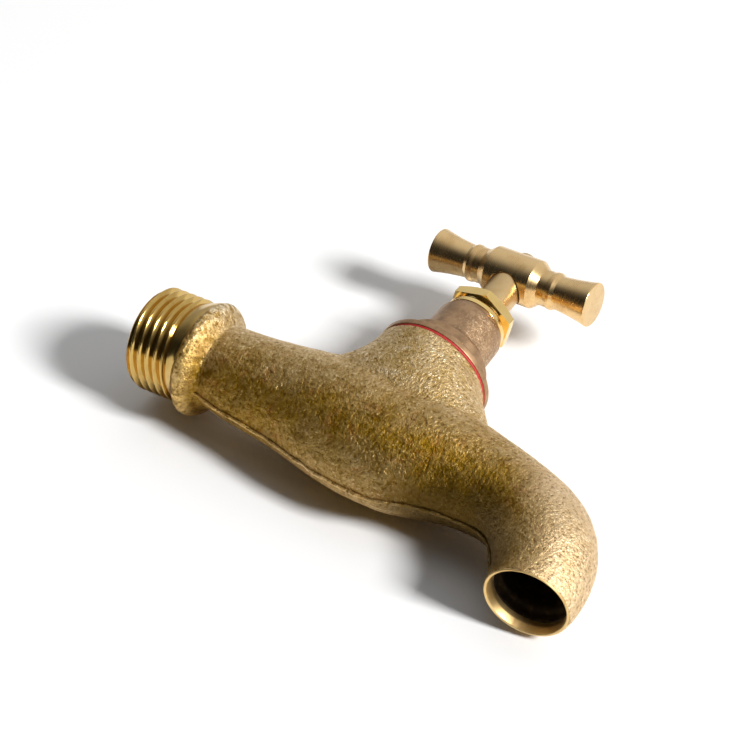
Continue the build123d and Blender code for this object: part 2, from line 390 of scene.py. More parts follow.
class Board(Wiring):
    """The node tree of one material."""

    def __init__(self, name: str) -> None:
        """Makes an empty material with its shader and a millimetre coordinate.

        Args:
            name: Name of the material.
        """
        self.material = bpy.data.materials.new(name)
        self.material.use_nodes = True
        super().__init__(self.material.node_tree)
        self.shader = self.add("BsdfPrincipled")
        self.output = self.add("OutputMaterial", Surface=self.shader.outputs[0])
        self.place = self.add("Mapping", Scale=(1 / MM,) * 3,
                              Vector=self.add("TexCoord").outputs["Object"]).outputs[0]

    def moved(self, shift: tuple, turn: tuple = (0, 0, 0), scale: tuple = (1, 1, 1)) -> Socket:
        """Makes a millimetre coordinate of its own for a pattern.

        Args:
            shift: Where its origin is.
            turn: Its turn in degrees.
            scale: Its scale along each axis.

        Returns:
            The coordinate.
        """
        centred = self.add("Mapping", Vector=self.place, Location=[-s for s in shift])
        return self.add("Mapping", Vector=centred.outputs[0], Scale=scale,
                        Rotation=[math.radians(t) for t in turn]).outputs[0]

    def cloud(self, size: float, detail: float = 3.0, rough: float = 0.55,
              place: Socket | None = None, twist: float = 0.0) -> Socket:
        """Makes a noise.

        Args:
            size: Size of its blotches in millimetres.
            detail: Octaves.
            rough: Weight of the fine octaves.
            place: Coordinate to read, or None for the plain one.
            twist: Distortion.

        Returns:
            Its value, from 0 to 1.
        """
        node = self.add("TexNoise", Vector=place or self.place, Scale=1 / size,
                        Detail=detail, Roughness=rough, Distortion=twist)
        return node.outputs["Fac"]

    def between(self, factor: Socket, low: Colour | Socket, high: Colour | Socket) -> Socket:
        """Mixes two colours.

        Args:
            factor: Share of the second.
            low: The first colour.
            high: The second colour.

        Returns:
            The mixed colour.
        """
        node = self.add("Mix", factor)
        node.data_type = "RGBA"
        for socket, value in ((node.inputs[6], low), (node.inputs[7], high)):
            self.feed(socket, (*value, 1) if isinstance(value, tuple) else value)
        return node.outputs[2]

    def relief(self, height: Socket, depth: float, strength: float = 1.0,
               under: Socket | None = None) -> Socket:
        """Bumps the surface.

        Args:
            height: Height from 0 to 1.
            depth: Depth of the relief in millimetres.
            strength: Share of it that shows.
            under: A normal to put it on.

        Returns:
            The bumped normal.
        """
        node = self.add("Bump", Height=height, Strength=strength, Distance=depth * MM)
        if under is not None:
            self.feed(node.inputs["Normal"], under)
        return node.outputs[0]

    def dress(self, colour: Colour | Socket, roughness: float | Socket, normal: Socket | None = None,
              metallic: float = 1.0) -> bpy.types.Material:
        """Fills the shader.

        Args:
            colour: Base colour, a value or an output.
            roughness: Roughness, a value or an output.
            normal: Normal output.
            metallic: Share of metal.

        Returns:
            The finished material.
        """
        sockets = self.shader.inputs
        self.feed(sockets["Base Color"], (*colour, 1) if isinstance(colour, tuple) else colour)
        self.feed(sockets["Roughness"], roughness)
        self.feed(sockets["Metallic"], metallic)
        if normal is not None:
            self.feed(sockets["Normal"], normal)
        return self.material


@dataclass(frozen=True)
class SandCastBrass:
    """Brass as it left the sand: dust towards +Z and on the keel, tarnished between; the tarnished band,
    darker on the lower side, is partly painted shade, the lighter outside of the spout's bend is a painted
    highlight, and the dark inside of the bend is painted shade with some grime.

    The rows give the zones: millimetres and the share of the zone there.
    """

    name: str = "sand_cast_brass"
    # Lighter colours for higher up, darker ones for lower down: partly painted light and shade
    dusty_lit: Colour = (0.63, 0.445, 0.215)
    olive_lit: Colour = (0.50, 0.325, 0.105)
    tarnish_and_shade: Colour = (0.37, 0.205, 0.014)
    dark_tarnish_and_shade: Colour = (0.19, 0.10, 0.005)
    rust: Colour = (0.32, 0.125, 0.014)
    pit: Colour = (0.12, 0.058, 0.008)
    bright: Colour = (1.0, 0.84, 0.58)
    golden: Colour = (0.95, 0.64, 0.22)
    # Painted highlight colour for the outside of the spout's bend
    bend_highlight: Colour = (0.84, 0.62, 0.40)
    rubbed: Colour = (0.46, 0.29, 0.085)
    # Painted shade, with some grime, for the inside of the bend
    grime_and_shade: Colour = (0.085, 0.046, 0.005)
    grain: float = 0.64
    fleck_size: float = 2.6
    rust_size: float = 3.4
    blotch_size: float = 5.0
    wave_size: float = 8.0
    wander: float = 12.0
    bend_wander: float = 0.35
    # Zones by height: the darker band lower down is partly painted shade
    dusty_lit_heights: Rows = ((-16.667, 0.40), (-13.667, 0.18), (-11.667, 0), (-7.667, 0), (4.333, 1))
    spout_length: Rows = ((83.0, 0), (92.0, 1))
    # Reaches of the painted highlight outside the bend and of the painted shade inside it
    bend_outside_highlight: Rows = ((18.8, 0), (25.6, 0.9))
    bend_inside_shade: Rows = ((13.5, 0.85), (18.375, 0))
    crest: Rows = ((-0.4, 0), (0.3, 1), (2.0, 1), (3.2, 0))
    crest_turn: tuple = (0, 1.3, -5.0)
    crest_ragged: float = 2.6
    worn: float = 0.20
    crest_worn: float = 0.75
    bend_highlight_share: float = 0.5
    roughness: float = 0.52
    polish: float = 0.22
    lump_depth: float = 0.25
    grain_depth: float = 0.24

    def bend(self, board: Board, along: Socket, wander: Socket) -> tuple[Socket, Socket]:
        """Finds the two sides of the spout's bend.

        Args:
            board: The material's nodes.
            along: Distance along X.
            wander: A slow wave that makes the edges uneven.

        Returns:
            The outside, where a lighter highlight is painted, and the inside, where shade is painted with
            some grime.
        """
        flat = board.add("Mapping", Vector=board.place, Scale=(1, 0.3, 1),
                         Location=[-c for c in CastBody.bend_centre]).outputs[0]
        reach = board.add("VectorMath", flat, operation="LENGTH").outputs["Value"]
        reach = board.sum("ADD", reach, board.sum("MULTIPLY", wander, self.bend_wander))
        # The outside of the bend faces the lamp and gets a painted highlight; the inside gets painted
        # shade
        outer = board.sum("MULTIPLY", board.graded(reach, self.bend_outside_highlight),
                          board.graded(along, self.spout_length))
        return outer, board.graded(reach, self.bend_inside_shade)

    def collar_crest(self, board: Board, lumps: Socket) -> Socket:
        """Finds the collar's crest, which has been rubbed bright on a belt.

        Args:
            board: The material's nodes.
            lumps: The noise that makes its edges ragged.

        Returns:
            The share of the crest.
        """
        lean = board.moved(Line.COLLAR.value[0], self.crest_turn)
        along = board.add("SeparateXYZ", lean).outputs[0]
        ragged = board.sum("MULTIPLY", board.sum("SUBTRACT", lumps, 0.5), self.crest_ragged)
        return board.graded(board.sum("ADD", along, ragged), self.crest)

    def material(self) -> bpy.types.Material:
        """Builds the node material.

        Returns:
            The material.
        """
        board = Board(self.name)
        spot = board.add("SeparateXYZ", board.place)
        wave = board.cloud(self.wave_size, 3, 0.6)
        wander = board.sum("MULTIPLY_ADD", wave, self.wander, -self.wander / 2)
        # Dust by height, lighter towards +Z and on the keel; its darker band lower down is partly painted
        # shade
        dust_and_shade_by_height = board.graded(board.sum("ADD", spot.outputs["Z"], wander), self.dusty_lit_heights)
        # Painted highlight outside the spout's bend, painted shade with some grime inside it
        outer, grime_and_painted_shade = self.bend(board, spot.outputs["X"], wander)
        grain = board.cloud(self.grain, 4, 0.7)
        lumps = board.cloud(self.grain * 2, 3, 0.6)
        crest = self.collar_crest(board, lumps)
        # The lighter coat: dust by height, and the painted highlight on the outside of the bend
        clean = board.sum("MAXIMUM", dust_and_shade_by_height, outer)
        # Bright grains, stronger where the lighter coat lies, which is partly painted light, and the high
        # spots that wear has reached
        flecks = board.sum("MULTIPLY", board.ramp(grain, [(0.55, 0), (0.63, 1)]),
                           board.ramp(board.cloud(self.fleck_size, 3, 0.6), [(0.42, 0.2), (0.58, 1)]))
        sparkle = board.sum("MULTIPLY", board.sum("MULTIPLY_ADD", clean, 0.4, 0.6),
                            board.sum("MULTIPLY", flecks, 0.95))
        wear = board.sum("MULTIPLY_ADD", crest, self.crest_worn - self.worn, self.worn)
        high_spots = board.ramp(lumps, [(0.42, 0), (0.60, 1)])
        shine = board.sum("MAXIMUM", sparkle, board.sum("MULTIPLY", high_spots, wear))
        # Colour, from the lowest coat to the uppermost
        blotch = board.ramp(board.cloud(self.blotch_size, 4, 0.65), [(0.34, 0), (0.66, 1)])
        rusty = board.ramp(board.cloud(self.rust_size, 4, 0.7), [(0.54, 0), (0.64, 0.7)])
        low = board.between(rusty, board.between(blotch, self.dark_tarnish_and_shade, self.tarnish_and_shade), self.rust)
        # Tarnished colour lower down, lighter colour higher up: partly painted shade and painted light
        colour = board.between(clean, low, board.between(blotch, self.olive_lit, self.dusty_lit))
        # Painted highlight: a lighter colour on the outside of the bend
        colour = board.between(board.sum("MULTIPLY", outer, self.bend_highlight_share), colour, self.bend_highlight)
        colour = board.between(crest, colour, self.rubbed)
        colour = board.between(board.ramp(grain, [(0.35, 0.75), (0.46, 0)]), colour, self.pit)
        # Grains are golden lower down and light higher up, following the painted light
        colour = board.between(shine, colour, board.between(clean, self.golden, self.bright))
        # Painted shade, with some grime, inside the bend
        colour = board.between(grime_and_painted_shade, colour, self.grime_and_shade)
        rough = board.sum("SUBTRACT", self.roughness, board.sum("MULTIPLY", shine, self.polish))
        pits = board.relief(grain, self.grain_depth, 1.0, board.relief(lumps, self.lump_depth))
        return board.dress(colour, rough, pits)


@dataclass(frozen=True)
class Speckled:
    """Plain stuff with specks of a second colour: scale, fibre, rubber or greased packing."""

    name: str
    colour: Colour
    speck: Colour
    size: float
    specks: Rows = ((0.45, 0), (0.7, 1))
    octaves: int = 4
    fine: float = 0.65
    stretch: tuple = (1, 1, 1)
    twist: float = 0
    roughness: float = 0.7
    bump: tuple = (0.05, 0.7)
    metallic: float = 0

    def material(self) -> bpy.types.Material:
        """Builds the node material.

        Returns:
            The material.
        """
        board = Board(self.name)
        place = board.moved((0, 0, 0), scale=self.stretch)
        weave = board.cloud(self.size, self.octaves, self.fine, place, self.twist)
        colour = board.between(board.ramp(weave, self.specks), self.colour, self.speck)
        return board.dress(colour, self.roughness, board.relief(weave, *self.bump), self.metallic)


@dataclass(frozen=True)
class TurnedBrass:
    """Bright brass with the fine rings that the tool left round the axis."""

    name: str
    line: Line
    colour: Colour = (0.88, 0.66, 0.31)
    stain: Colour = (0.70, 0.47, 0.18)
    roughness: float = 0.20
    ring: float = 0.22
    ring_depth: float = 0.006

    def material(self) -> bpy.types.Material:
        """Builds the node material.

        Returns:
            The material.
        """
        board = Board(self.name)
        across = Vector((1, 1, 1)) * 0.02 + self.line.along * 0.98
        rings = board.moved(self.line.value[0], scale=tuple(across))
        ring = board.cloud(self.ring, 2, 0.6, rings)
        stain = board.ramp(board.cloud(4.0, 4, 0.6), [(0.45, 0), (0.75, 0.7)])
        colour = board.between(stain, self.colour, self.stain)
        rough = board.sum("ADD", self.roughness - 0.06, board.sum("MULTIPLY", ring, 0.14))
        rough = board.sum("ADD", rough, board.sum("MULTIPLY", stain, 0.08))
        fine = board.relief(ring, self.ring_depth, 0.8)
        nick = board.ramp(board.cloud(0.9, 3, 0.75), [(0.66, 0), (0.74, 1)])
        return board.dress(colour, rough, board.relief(nick, -0.012, 0.6, fine))


@dataclass(frozen=True)
class CastBonnetBrass:
    """The bonnet's pinkish-brown brass: satin, with a rough sparkling skin on its barrel, laid on the +X
    side that faces the lamp, so that its sparkle is a painted highlight.
    """

    name: str = "bonnet_brass"
    satin: Colour = (0.47, 0.295, 0.165)
    dark: Colour = (0.31, 0.19, 0.105)
    bright: Colour = (1.0, 0.78, 0.48)
    barrel: Rows = ((21.5, 0), (23.0, 1), (30.0, 1), (31.0, 0.2))
    # The +X side, which faces the lamp, gets the sparkle: painted highlight
    side: Rows = ((54.0, 0.15), (57.6, 1))

    def material(self) -> bpy.types.Material:
        """Builds the node material.

        Returns:
            The material.
        """
        board = Board(self.name)
        spot = board.add("SeparateXYZ", board.place)
        cast = board.graded(spot.outputs["Z"], self.barrel)
        # Painted highlight: the skin's sparkle and grains fade out away from the +X side, which faces the
        # lamp
        side = board.graded(spot.outputs["X"], self.side)
        blotch = board.ramp(board.cloud(3.0, 4, 0.7), [(0.38, 0), (0.62, 1)])
        grain = board.cloud(0.5, 4, 0.75)
        skin = board.sum("MULTIPLY", cast, side)
        shine = board.sum("MULTIPLY", board.ramp(grain, [(0.52, 0), (0.64, 1)]), skin)
        colour = board.between(blotch, self.dark, self.satin)
        colour = board.between(board.sum("MULTIPLY", board.ramp(grain, [(0.36, 0.8), (0.48, 0)]), skin),
                               colour, self.dark)
        # Bright sparkle on the lit side only: painted highlight
        colour = board.between(board.sum("MULTIPLY", shine, 0.5), colour, self.bright)
        rough = board.sum("SUBTRACT", 0.44, board.sum("MULTIPLY", shine, 0.12))
        return board.dress(colour, rough, board.relief(board.sum("MULTIPLY", grain, skin), 0.16, 0.9))


# Pieces


Finish = SandCastBrass | Speckled | TurnedBrass | CastBonnetBrass


def deliver(piece: Piece, body: str, slot: str, *finishes: Finish, stands_for: str = "") -> None:
    """Dresses a finished piece and hangs it on its body.

    Args:
        piece: The finished piece.
        body: The CAD body that it moves with.
        slot: The record's material slot; not used.
        finishes: What it is made of, the main finish first.
        stands_for: The CAD node that it replaces, if any.
    """
    second = [face.index for face in piece.data.polygons if face.material_index]
    piece.data.materials.clear()
    for finish in finishes:
        piece.data.materials.append(finish.material())
    for index in second:
        piece.data.polygons[index].material_index = 1
    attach(piece, body)
    if stands_for:
        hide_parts(stands_for)
    LOG.info("%s: %d faces on %s", piece.name, len(piece.data.polygons), body)


@dataclass
class CastBody:
    """The sand casting with its machined inlet thread, its parting line and its spout's lip."""

    thread_radius: float = 20.955 / 2
    thread_root: float = 9.32
    pitch: float = 1.814
    thread_start: float = -0.5
    thread_end: float = 9.4
    bore: float = 6.2
    bore_step: float = 0.15
    neck_cut: float = 15.4
    neck_start: float = 10.0
    neck_radius: float = 8.45
    crest: float = 11.6
    crest_reach: float = 1.9
    crest_back: float = 1.3
    voxel: float = 0.43
    skin_steps: tuple = (("lumps", 0.14, 5.0, 2, ""), ("grain", 0.15, 1.1, 3, ""),
                         ("chatter", 0.30, 1.0, 2, "crest"))
    mouth: tuple = (98.95, 0, -25.3)
    mouth_lean: float = 82.5
    lip_radius: float = 8.05
    lip_bore: float = 7.25
    lip_depth: float = 2.6
    cast_bore: float = 7.75
    mouth_beyond: float = 1.5
    # How far past the bores the near-black scale, partly painted shade, reaches
    inlet_shade_reach: float = 0.6
    spout_shade_reach: float = 0.35
    bend_centre: tuple = (76.9, 0, -25.7)
    bend_radius: float = 21.9
    bead: float = 0.36
    bead_swell: tuple = (0.90, 0.40, 0.35)
    bead_rise: tuple = (0.22, 0.14, 0.16)
    bead_drift: float = 0.22
    bead_noises: tuple = ((0.35, 0), (1.7, 4), (0.22, 9))
    keel_below: float = -45
    keel_steps: tuple = (14.6, 0.7, 87)
    bend_steps: tuple = (-1.0, 2.6, 30)
    blank_line: tuple = ((0, 9.45, 0.15), (1.15, 10.55, 0), (4.0, 10.7, 0), (9.8, 10.7, 0))
    groove: tuple = ((0, 0), (0.08, 0.05), (0.40, 0.90), (0.45, 0.975), (0.50, 1.0),
                     (0.55, 0.975), (0.60, 0.90), (0.92, 0.05), (1, 0))
    flare_line: tuple = ((7.9, 9.0), (8.4, 9.45), (8.9, 9.78), (9.4, 9.98), (10.0, 10.14), (10.7, 10.36),
                         (11.4, 10.68), (12.1, 10.95), (12.7, 11.1), (13.2, 11.15), (13.4, 10.9))
    skin: SandCastBrass = SandCastBrass()
    # Near-black scale inside the waterways: partly painted shade of the hollows
    scale: Speckled = Speckled("waterway_scale_and_shade", (0.035, 0.022, 0.010), (0.16, 0.095, 0.035), 1.4,
                               ((0.50, 0), (0.75, 0.6)), fine=0.7, roughness=0.62, bump=(0.15, 0.8),
                               metallic=0.6)
    ridge: SandCastBrass = SandCastBrass("scuffed_ridge", tarnish_and_shade=(0.72, 0.46, 0.15),
                                         dark_tarnish_and_shade=(0.52, 0.31, 0.08), worn=0.6)
    thread_brass: TurnedBrass = TurnedBrass("thread_brass", Line.INLET, (0.64, 0.43, 0.135),
                                            (0.44, 0.26, 0.06), 0.13, 0.5, 0.004)
    lip_brass: TurnedBrass = TurnedBrass("lip_brass", Line.INLET, (0.84, 0.60, 0.27),
                                         (0.60, 0.38, 0.12), 0.42, 1.1, 0.05)

    def collar(self) -> Piece:
        """Turns the cast collar, which leans a little, and the neck behind it.

        Returns:
            The finished piece.
        """
        inner, crest = self.bore, self.crest
        ring = turned("collar", Line.COLLAR, eased([
            (-2.2, inner, 0), (-2.2, 9.3, 0.3), (-0.9, crest - 0.9, 0.8), (0.15, crest + 0.15, 0.6),
            (1.5, crest - 0.1, 1.0), (2.8, crest - 1.2, 1.2), (3.8, 9.1, 1.2), (5.2, 8.45, 0),
            (5.2, inner, 0)]))
        neck = turned("neck", Line.INLET, [
            (self.neck_start, inner), (self.neck_start, self.neck_radius - 0.2),
            (self.neck_cut + 1.5, self.neck_radius - 0.1), (self.neck_cut + 1.5, inner)], 96)
        return fuse(ring, neck)

    def casting(self) -> Piece:
        """Copies the CAD body behind the collar and gives the whole the skin of a sand casting.

        Returns:
            The finished piece.
        """
        piece = placed("casting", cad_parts["body"].data.copy())
        close_up(piece, 0.001)
        with shaping(piece):
            bpy.ops.mesh.bisect(plane_co=(self.neck_cut * MM, 0, 0), plane_no=(1, 0, 0),
                                use_fill=True, clear_inner=True)
        fuse(piece, self.collar())
        finish_with(piece, "REMESH", mode="VOXEL", voxel_size=self.voxel * MM)
        finish_with(piece, "SMOOTH", factor=0.5, iterations=4)
        self.weigh_crest(piece)
        for name, height, size, depth, group in self.skin_steps:
            pattern = bpy.data.textures.new(name, "CLOUDS")
            pattern.noise_scale, pattern.noise_depth = size * MM, depth
            finish_with(piece, "DISPLACE", texture=pattern, texture_coords="LOCAL",
                        strength=height * MM, mid_level=0.5, vertex_group=group)
        self.open_mouth(piece)
        self.mark_waterways(piece)
        return smooth(piece, 180)

    def weigh_crest(self, piece: Piece) -> None:
        """Gives the collar's crest the weights that its chatter marks follow.

        Args:
            piece: The casting.
        """
        group = piece.vertex_groups.new(name="crest")
        axis = Line.COLLAR.along.normalized()
        for point in piece.data.vertices:
            reach = (point.co - Line.COLLAR.centre).dot(axis) / MM - self.crest_back
            if abs(reach) < self.crest_reach:
                group.add([point.index], 1 - (reach / self.crest_reach) ** 2, "REPLACE")

    def open_mouth(self, piece: Piece) -> None:
        """Widens the cast bore behind the mouth, so that the machined lip fits in it.

        Args:
            piece: The casting.
        """
        lean = math.radians(self.mouth_lean)
        centre, way = Vector(self.mouth), Vector((math.cos(lean), 0, -math.sin(lean)))
        for point in piece.data.vertices:
            reach = point.co / MM - centre
            depth = reach.dot(way)
            across = reach - way * depth
            if -self.lip_depth < depth < self.mouth_beyond and across.length < self.cast_bore:
                point.co = (centre + way * depth + across.normalized() * self.cast_bore) * MM

    def mark_waterways(self, piece: Piece) -> None:
        """Gives the faces inside the waterways the second material, a near-black scale that partly paints
        the shade inside them.

        Args:
            piece: The casting.
        """
        bend = Vector(self.bend_centre)
        for face in piece.data.polygons:
            spot = face.center / MM
            if spot.x < self.neck_cut + 2:
                inside = math.hypot(spot.y, spot.z) < self.bore + self.inlet_shade_reach
            else:
                off = math.hypot(spot.x - bend.x, spot.z - bend.z) - self.bend_radius
                inside = (spot.x > bend.x
                          and math.hypot(off, spot.y) < self.lip_bore + self.spout_shade_reach)
            face.material_index = int(inside)

    def inlet_thread(self) -> Piece:
        """Cuts the pipe thread with its chamfered start, and the flare that runs up to the collar.

        Returns:
            The finished piece.
        """
        depth = self.thread_radius - self.thread_root
        first = -2 * self.pitch
        spots = [Vector((first + u * self.pitch, 0, self.thread_root + v * depth)) * MM
                 for u, v in self.groove]
        rod = drawn("inlet_thread", spots)
        finish_with(rod, "SCREW", axis="X", angle=2 * math.pi, steps=120, render_steps=120,
                    screw_offset=self.pitch * MM, iterations=8, use_merge_vertices=False)
        close_up(rod)
        with shaping(rod):
            for at, side in ((self.thread_start, "clear_inner"), (self.thread_end, "clear_outer")):
                bpy.ops.mesh.select_all(action="SELECT")
                bpy.ops.mesh.bisect(plane_co=(at * MM, 0, 0), plane_no=(1, 0, 0), use_fill=True,
                                    **{side: True})
        close_up(rod)
        blank = turned("blank", Line.INLET, eased([
            (0.7, self.bore, 0), (0, self.bore + 0.7, 0.1), *self.blank_line,
            (9.8, self.bore, 0)]), 120)
        combine(rod, blank, Cut.TRIM)
        inner = [(self.flare_line[end][0], self.bore + self.bore_step) for end in (0, -1)]
        flare = turned("flare", Line.INLET, [inner[0], *self.flare_line, inner[1]], 120)
        combine(rod, flare, Cut.JOIN)
        return smooth(rod, 24)

    def keel_line(self) -> list[tuple[Vector, Vector]]:
        """Finds the underside of the casting in its middle plane.

        Returns:
            Points and outward directions, from the collar round the inside of the bend.
        """
        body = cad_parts["body"]
        found, rays = [], []
        first, step, count = self.keel_steps
        for k in range(count):
            rays.append((Vector((first + step * k, 0, self.keel_below)) * MM, Vector((0, 0, 1))))
        first, step, count = self.bend_steps
        for k in range(count):
            turn = math.radians(first + step * k)
            rays.append((Vector(self.bend_centre) * MM, Vector((math.sin(turn), 0, math.cos(turn)))))
        for origin, way in rays:
            hit, spot, _, _ = body.ray_cast(origin, way)
            if hit:
                found.append((spot, -way))
        return found

    def parting_flash(self) -> Piece:
        """Lays the ragged bead that the two halves of the mould left along the underside.

        Returns:
            The finished piece.
        """
        curve = bpy.data.curves.new("parting_flash", "CURVE")
        curve.dimensions = "3D"
        curve.bevel_depth = self.bead * MM
        curve.bevel_resolution = 3
        curve.use_fill_caps = True
        line = self.keel_line()
        spline = curve.splines.new("POLY")
        spline.points.add(len(line) - 1)
        for k, (point, (spot, out)) in enumerate(zip(spline.points, line)):
            wave, ragged, drift = (noise.noise(Vector((k * speed, lane, 0)))
                                   for speed, lane in self.bead_noises)
            side = Vector((0, self.bead_drift * drift, 0)) * MM
            mix = Vector((1, wave, ragged))
            point.co = (*(spot + out * mix.dot(self.bead_rise) * MM + side), 1)
            point.radius = mix.dot(self.bead_swell)
        take(placed("parting_flash", curve))
        bpy.ops.object.convert(target="MESH")
        piece = bpy.context.active_object
        close_up(piece)
        finish_with(piece, "SUBSURF", levels=1, render_levels=1)
        return smooth(piece, 180)

    def spout_lip(self) -> Piece:
        """Turns the bright edge of the mouth and the bored length behind it.

        Returns:
            The finished piece.
        """
        depth, bore, rim = self.lip_depth, self.lip_bore, self.lip_radius
        profile = eased([(-depth, bore, 0), (-1.5, bore, 0.5), (-0.05, bore + 0.34, 0.35),
                         (0.12, rim - 0.12, 0.15), (0.0, rim, 0.1), (-0.5, rim + 0.05, 0),
                         (-depth, rim - 0.2, 0)])
        piece = turned("spout_lip", Line.INLET, profile)
        piece.matrix_world = (Matrix.Translation(Vector(self.mouth) * MM)
                              @ Matrix.Rotation(math.radians(self.mouth_lean), 4, "Y"))
        return smooth(settle(piece))

    def build(self) -> None:
        """Makes and delivers the pieces of the body."""
        flash = self.parting_flash()
        deliver(self.casting(), "tap_body", "cast_brass", self.skin, self.scale, stands_for="body")
        deliver(self.inlet_thread(), "tap_body", "cast_brass", self.thread_brass)
        deliver(flash, "tap_body", "cast_brass", self.ridge)
        deliver(self.spout_lip(), "tap_body", "cast_brass", self.lip_brass)


@dataclass
class Headwork:
    """The washer, bonnet and gland nut that close the valve chamber."""

    washer_bottom: float = 16.1
    washer_top: float = 16.9
    washer_radius: float = 12.35
    washer_inset: float = 0.42
    squeeze: float = 0.36
    thread_radius: float = 9.45
    spigot_bottom: float = 8.5
    flange_radius: float = 12.2
    flange_top: float = 17.9
    base_radius: float = 9.4
    base_top: float = 21.6
    across_flats: float = 17.6
    flat_angle: float = -72.4
    cone_top: float = 23.5
    barrel_low: float = 7.25
    barrel_high: float = 7.0
    shoulder: float = 30.6
    top: float = 32.0
    top_radius: float = 6.4
    box_radius: float = 5.2
    box_bottom: float = 24.5
    shaft_bore: float = 3.65
    thread_bore: float = 4.8
    thread_top: float = 20.6
    nut_flats: float = 12.7
    nut_angle: float = -13.0
    hexagon_bottom: float = 34.2
    nut_side_top: float = 35.75
    nut_top: float = 36.3
    nut_top_radius: float = 6.3
    nut_collar: float = 6.5
    nut_collar_top: float = 33.1
    nut_neck: float = 6.0
    gland_bottom: float = 29.3
    stem_gap: float = 0.12
    edge_bevel: float = 0.12
    flat_cutter: tuple = (4, 30)
    fibre: Speckled = Speckled("red_fibre", (0.40, 0.013, 0.015), (0.58, 0.11, 0.095), 0.8,
                               ((0.5, 0), (0.72, 0.8)), 5, 0.7, stretch=(1, 1, 4), twist=0.6,
                               roughness=0.62, bump=(0.04, 0.6))
    bonnet_brass: CastBonnetBrass = CastBonnetBrass()
    nut_brass: TurnedBrass = TurnedBrass("nut_brass", Line.VALVE, (0.92, 0.67, 0.27),
                                         (0.82, 0.54, 0.17), 0.12, 0.4, 0.003)

    def washer(self) -> Piece:
        """Turns the fibre washer, pressed in a little between the two brass faces.

        Returns:
            The finished piece.
        """
        low, high = self.washer_bottom, self.washer_top
        inner, outer = self.thread_radius + 0.1, self.washer_radius - self.washer_inset
        return smooth(turned("fibre_washer", Line.VALVE, eased([
            (low, inner, 0), (low, outer, 0.3), (high, outer, 0.3), (high, inner, 0)])))

    def bonnet(self) -> Piece:
        """Turns the bonnet and mills its two flats.

        Returns:
            The finished piece.
        """
        seat = self.washer_top - self.squeeze
        piece = turned("bonnet_shell", Line.VALVE, eased([
            (self.spigot_bottom, self.thread_bore, 0), (self.spigot_bottom, self.thread_radius, 0.4),
            (seat, self.thread_radius, 0), (seat, self.flange_radius - 0.05, 0.15),
            (self.flange_top, self.flange_radius, 0.35), (self.flange_top, self.base_radius, 0.3),
            (self.base_top, self.base_radius, 0.5), (self.cone_top, self.barrel_low, 1.2),
            (self.shoulder, self.barrel_high, 0.9), (self.top, self.top_radius, 0.25),
            (self.top, self.box_radius, 0), (self.box_bottom, self.box_radius, 0),
            (self.box_bottom, self.shaft_bore, 0), (self.thread_top, self.shaft_bore, 0),
            (self.thread_top, self.thread_bore, 0)]))
        turn = math.radians(self.flat_angle)
        out = Vector((math.cos(turn), math.sin(turn), 0))
        height = self.cone_top - self.flange_top
        for side in (1, -1):
            away = out * side * (self.across_flats + self.flat_cutter[0]) / 2
            middle = Line.VALVE.centre + (away + Vector((0, 0, self.flange_top + height / 2))) * MM
            cutter = start(bpy.ops.mesh.primitive_cube_add, "flat_cutter", size=MM, location=middle,
                           rotation=(0, 0, turn), scale=(*self.flat_cutter, height))
            combine(piece, settle(cutter), Cut.REMOVE)
        close_up(piece)
        return smooth(piece)

    def gland_nut(self) -> Piece:
        """Makes the hexagon nut with its bevelled corners, and the collar and gland below it.

        Returns:
            The finished piece.
        """
        corner, low, high = self.nut_flats / math.sqrt(3), self.hexagon_bottom, self.nut_top
        piece = start(bpy.ops.mesh.primitive_cylinder_add, "hexagon_nut", vertices=6,
                      radius=corner * MM, depth=(high - low) * MM,
                      location=Line.VALVE.centre + Vector((0, 0, (low + high) / 2)) * MM,
                      rotation=(0, 0, math.radians(self.nut_angle + 30)))
        settle(piece)
        with shaping(piece):
            bpy.ops.mesh.select_mode(type="EDGE")
            sides = bmesh.from_edit_mesh(piece.data)
            for edge in sides.edges:
                edge.select_set(abs((edge.verts[0].co - edge.verts[1].co).z) > MM)
            sides.select_flush_mode()
            bmesh.update_edit_mesh(piece.data)
            bpy.ops.mesh.bevel(offset=self.edge_bevel * MM, segments=3)
        gap = self.shaft_bore + self.stem_gap
        blank = turned("nut_blank", Line.VALVE, eased([
            (low - 0.1, gap, 0), (low - 0.1, corner - 0.35, 0), (low + 0.15, corner + 0.1, 0.1),
            (self.nut_side_top, corner + 0.1, 0.2), (high, self.nut_top_radius, 0.2),
            (high, gap + 0.3, 0.1), (high - 0.3, gap, 0)]), 144)
        combine(piece, blank, Cut.TRIM)
        sleeve = turned("gland_sleeve", Line.VALVE, eased([
            (self.gland_bottom, gap, 0), (self.gland_bottom, self.box_radius - 0.05, 0.1),
            (self.top, self.box_radius - 0.05, 0), (self.top, self.nut_collar, 0.2),
            (self.nut_collar_top, self.nut_collar - 0.1, 0.35),
            (self.nut_collar_top + 0.5, self.nut_neck, 0.3), (low + 0.3, self.nut_neck, 0),
            (low + 0.3, gap, 0)]), 144)
        combine(piece, sleeve, Cut.JOIN)
        close_up(piece)
        return smooth(piece, 28)

    def build(self) -> None:
        """Makes and delivers the pieces of the headwork."""
        deliver(self.washer(), "tap_body", "fibre", self.fibre, stands_for="body_washer")
        deliver(self.bonnet(), "tap_body", "forged_brass", self.bonnet_brass, stands_for="bonnet")
        deliver(self.gland_nut(), "tap_body", "turned_brass", self.nut_brass, stands_for="gland_nut")


